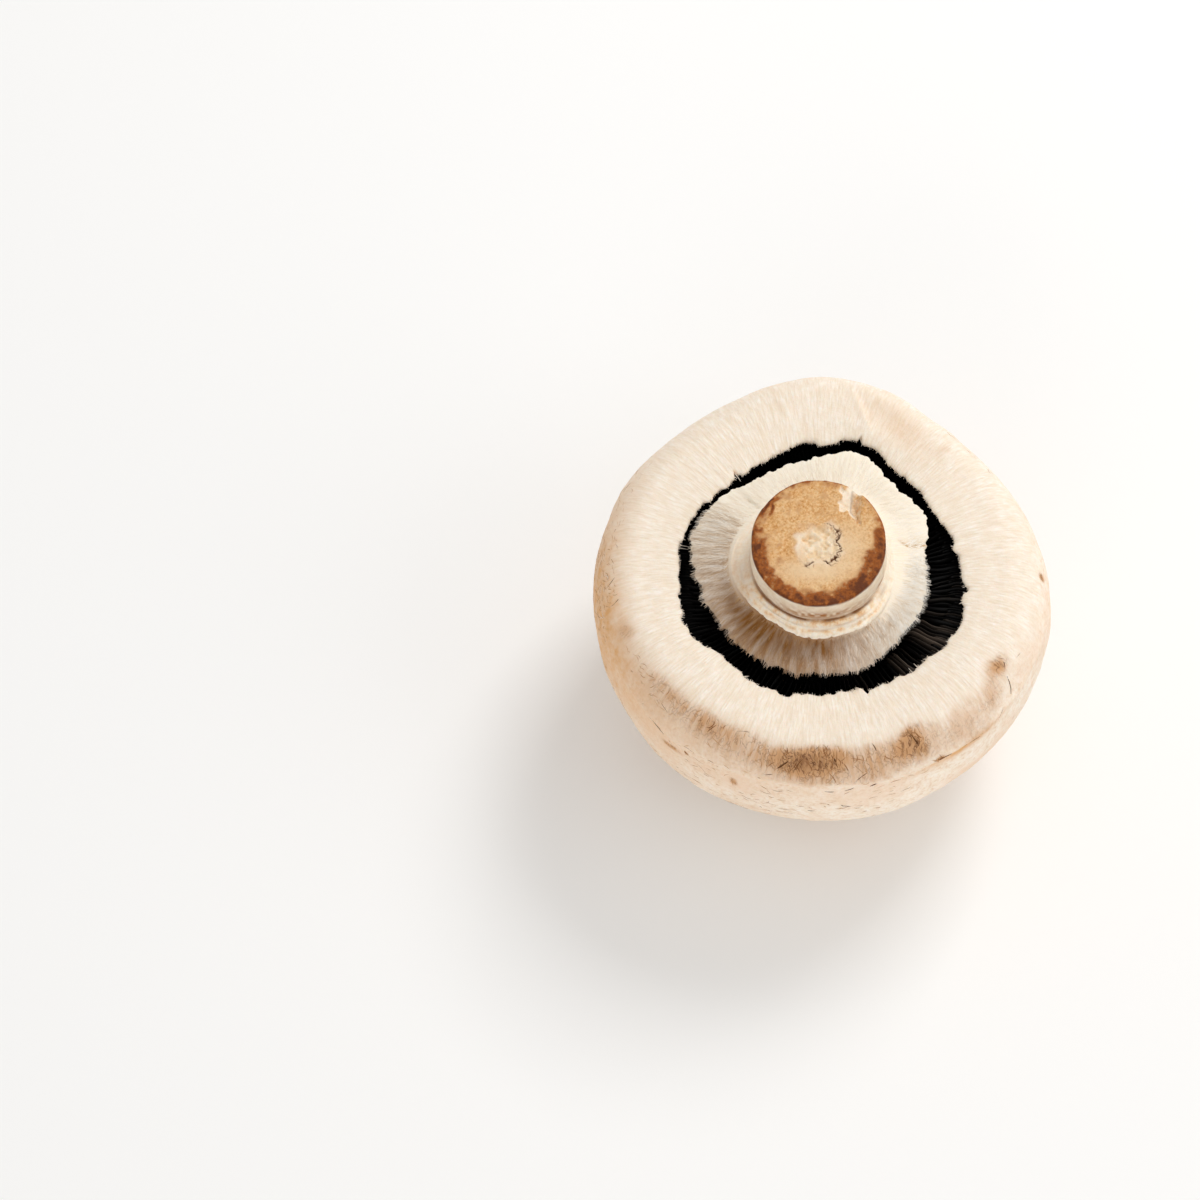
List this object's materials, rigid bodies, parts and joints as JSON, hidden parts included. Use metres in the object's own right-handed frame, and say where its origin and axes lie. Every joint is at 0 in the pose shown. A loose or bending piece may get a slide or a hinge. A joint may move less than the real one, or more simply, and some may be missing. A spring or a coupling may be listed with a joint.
{
  "type": "button mushroom",
  "caption": "Picked button mushroom lying on the crown of its cap, its torn veil, dark gills and cut stem facing up.",
  "frame": {"origin": "centre of the small flat at the crown of the cap, where the mushroom rests, on the growth axis", "axes": "+Z along the growth axis from the crown to the cut stem, so the mushroom lies cap down; +X to the right and -Y towards the viewer of the picture"},
  "size_m": [0.06, 0.0613, 0.0404],
  "materials": {
    "cap_skin": "dry matte skin, cream with tan and brown bruises and small scales",
    "gill_flesh": "matte, almost black chocolate brown",
    "stem_flesh": "fibrous, with a tan drying cut face and a darker orange-brown rim",
    "torn_veil": "matte, cream, combed radial fibres"
  },
  "bodies": {
    "root": {"cap": "cap_skin", "gills": "gill_flesh", "stem": "stem_flesh", "veil_skirt": "torn_veil"}
  },
  "joints": []
}
